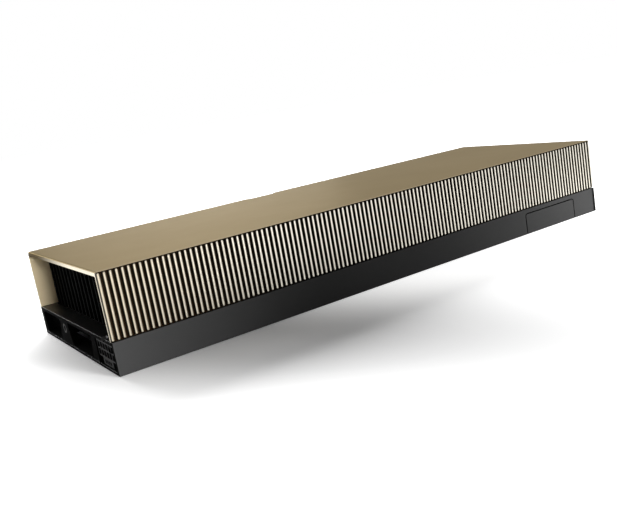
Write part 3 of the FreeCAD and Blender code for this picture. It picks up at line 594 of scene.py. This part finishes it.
def round_mouth(bm):
    """Round the outer edge of the duct's mouth, over the top and down the bend."""
    rims = [
        face for face in bm.faces
        if face.normal.x < -FACING and face.calc_center_median().x < X_REAR + MM
    ]
    geometry = dict.fromkeys(rims)
    for face in rims:
        geometry.update(dict.fromkeys([*face.edges, *face.verts]))
    bmesh.ops.bisect_plane(
        bm, geom=list(geometry), plane_co=(0, 0, Z_TOP - MOUTH_TOP), plane_no=(0, 0, 1),
        dist=ON_PLANE,
    )
    edges = [
        edge for edge in bm.edges
        if all(abs(vert.co.x - X_REAR) < ON_END for vert in edge.verts)
        and any(face.normal.z > 0.05 for face in edge.link_faces)
    ]
    bmesh.ops.bevel(
        bm, geom=edges, offset=MOUTH_ROUND, offset_type="OFFSET", segments=3,
        profile=0.5, affect="EDGES", clamp_overlap=False,
    )


def hood_finish(middle, normal):
    """The finish of a face of the hood, or None for the plain gold of its flats."""
    # Painted shade: the wall behind the ribs and the underside of the lip.
    wall = normal.y < -FACING and middle.y < Y_WALL + 0.05 * MM
    under_lip = normal.z < -FACING and middle.y < Y_WALL
    if wall or under_lip:
        return "groove_painted_shade"
    # Painted highlight on the rear cut edges, which fades to painted shade along the top.
    if normal.x < -SQUARE and middle.x < X_REAR + ON_END:
        at_top = middle.z > Z_TOP - MOUTH_TOP
        return "shroud_gold_lip" if at_top else "shroud_gold_edge"
    # The mouth's rounding: painted shade along the top, and the lip's painted highlight
    # and shade down the bend.
    if -SQUARE < normal.x < -0.2 and middle.x < X_REAR + ROUND_REACH:
        down_bend = normal.y > 0.1
        return "shroud_gold_lip" if down_bend else "shroud_gold_bend"
    # Painted reflection and shade on the duct's side wall.
    if normal.y < -FACING and middle.y > Y_FAR - WALL_REACH:
        return "shroud_gold_inner"
    return None


def make_hood():
    """The shroud without its ribs: top, plain wall and the wall behind the ribs."""
    hood = add_piece("shroud_hood", node_copy("shroud"), "shroud")
    mesh = cut_ribs(hood)
    bm = whole_faces(mesh)
    round_mouth(bm)
    bm.to_mesh(mesh)
    bm.free()
    mesh.shade_smooth()
    paint(
        mesh, hood_finish, "groove_painted_shade", "shroud_gold_edge", "shroud_gold_lip",
        "shroud_gold_bend", "shroud_gold_inner",
    )
    fine_edges(hood, 0.12 * MM, 3)


def make_pieces():
    make_ribs()
    make_hood()
    make_tray()
    make_cover()
    paint_rear(soften("backplate", 0.1 * MM))
    # The rear panel is all in painted shade.
    paint_rear(soften("rear_panel", 0.15 * MM, "black_painted_shade"))
    soften("end_plate", 0.12 * MM)
    soften("heatsink", 0.12 * MM)
    soften("power_socket", 0.08 * MM)


# ================================================================ the stage
WHITE = (1.0, 1.0, 1.0, 1.0)
FLOOR_SIZE = 12.0
FLOOR_DROP = 0.2 * MM     # under the card's lowest face
FLOOR_GLOW = 0.8          # whitens the floor away from the shadow

# Painted shadow, where the floor's glow is left out: its middle, its turn, and how it
# stretches across and along it.
SHADOW_PLACE = (-85 * MM, -75 * MM, 0.0)
SHADOW_TURN = (0.0, 0.0, math.radians(30))
SHADOW_STRETCH = (0.95, 2.5, 1.0)
SHADOW_CORE = 10 * MM     # no glow within this of the middle
SHADOW_REACH = 95 * MM    # full glow past this

WORLD_LIGHT = 0.25        # strength as a light, where what is seen has 1


def floor_glow(shader):
    """White light of the floor for rays that show it, none at the shadow's middle, which
    paints a darker oval there.
    """
    band = shader.add("ShaderNodeMapping", vector_type="TEXTURE")
    band.inputs["Location"].default_value = SHADOW_PLACE
    band.inputs["Rotation"].default_value = SHADOW_TURN
    band.inputs["Scale"].default_value = SHADOW_STRETCH
    shader.join(shader.add("ShaderNodeTexCoord"), "Object", band, "Vector")
    far = shader.add("ShaderNodeVectorMath", operation="LENGTH")
    shader.join(band, 0, far, 0)
    rise = shader.spread(far, "Value", 0.0, FLOOR_GLOW, SHADOW_CORE, SHADOW_REACH)
    rise.interpolation_type = "SMOOTHSTEP"
    level = shader.add("ShaderNodeMath", operation="MULTIPLY")
    shader.tree.links.new(seen_rays(shader.tree), level.inputs[0])
    shader.join(rise, "Result", level, 1)
    glow = shader.add("ShaderNodeEmission")
    glow.inputs["Color"].default_value = WHITE
    shader.join(level, 0, glow, "Strength")
    return glow


def make_floor():
    """Pale floor that keeps the card's shadow and fades into a white surround."""
    bpy.ops.mesh.primitive_plane_add(size=FLOOR_SIZE, location=(0, 0, -FLOOR_DROP))
    floor = bpy.context.object
    floor.name = "floor"
    shader = Shader("floor_pale")
    shader.set(Base_Color=(0.86, 0.86, 0.86, 1.0), Roughness=0.9, Specular_IOR_Level=0.0)
    total = shader.add("ShaderNodeAddShader")
    shader.join(shader.surface, 0, total, 0)
    shader.join(floor_glow(shader), 0, total, 1)
    shader.join(total, 0, shader.output, 0)
    floor.data.materials.append(shader.material)


def make_world():
    """White to the camera and in reflections, softer as a light."""
    world = bpy.data.worlds.new("studio")
    bpy.context.scene.world = world
    world.use_nodes = True
    tree = world.node_tree
    background = tree.nodes["Background"]
    background.inputs["Color"].default_value = WHITE
    strength = tree.nodes.new("ShaderNodeMapRange")
    strength.inputs["To Min"].default_value = WORLD_LIGHT
    strength.inputs["To Max"].default_value = 1.0
    tree.links.new(seen_rays(tree), strength.inputs["Value"])
    tree.links.new(strength.outputs["Result"], background.inputs["Strength"])


# Name, place, aim, width and height, watts, and degrees that the light spreads over.
# The first lamps leave no highlight, and the others show as highlights alone.
MATT_LAMPS = (
    ("key_back", (0.25, 1.25, 0.75), (0, 0, 0), (1.4, 0.8), 44.0, 180),
    ("near_left", (-0.03, -0.45, 0.05), (-0.165, -0.055, 0.01), (0.1, 0.08), 0.11, 22),
    ("near_right", (0.3, -0.4, 0.1), (0.15, -0.055, 0), (0.1, 0.1), 0.182, 30),
)
SHINE_LAMPS = (
    ("mouth", (-0.2, -1.2, 0.15), (-0.14, 0.04, 0.02), (0.2, 0.2), 0.018, 5),
    ("left_low", (-0.5, 1.0, 0.2), (-0.13, 0, 0.02), (0.3, 0.3), 0.11, 30),
    ("back_strip", (0.53, 1.4, 0.25), (-0.08, 0, 0.03), (0.7, 0.2), 0.09, 40),
)


def soft_box(name, place, aim, size, power, spread):
    light = bpy.data.lights.new(name, "AREA")
    light.shape = "RECTANGLE"
    light.size, light.size_y = size
    light.energy = power
    light.spread = math.radians(spread)
    lamp = bpy.data.objects.new(name, light)
    bpy.context.scene.collection.objects.link(lamp)
    lamp.location = place
    lamp.rotation_mode = "QUATERNION"
    lamp.rotation_quaternion = (Vector(aim) - Vector(place)).to_track_quat("-Z", "Y")
    return lamp


def make_lights():
    for settings in MATT_LAMPS:
        soft_box(*settings).visible_glossy = False
    for settings in SHINE_LAMPS:
        lamp = soft_box(*settings)
        lamp.visible_diffuse = False
        lamp.visible_camera = False


def make_camera():
    """The photograph's viewpoint. Its shift puts the card where the photograph has it."""
    camera = bpy.data.cameras.new("camera")
    camera.sensor_width = 36.0
    camera.lens = 44.848
    camera.shift_x = -0.072934
    camera.shift_y = -0.029173
    camera.clip_start = 0.01
    camera.clip_end = 50.0
    view = bpy.data.objects.new("camera", camera)
    bpy.context.scene.collection.objects.link(view)
    view.location = (-205.52 * MM, -317.96 * MM, 83.93 * MM)
    view.rotation_euler = Euler([math.radians(turn) for turn in (78.484, 9.259, -36.1)])
    bpy.context.scene.camera = view


dress_nodes()
make_pieces()
make_floor()
make_world()
make_lights()
make_camera()

bpy.context.scene.view_settings.view_transform = "Standard"
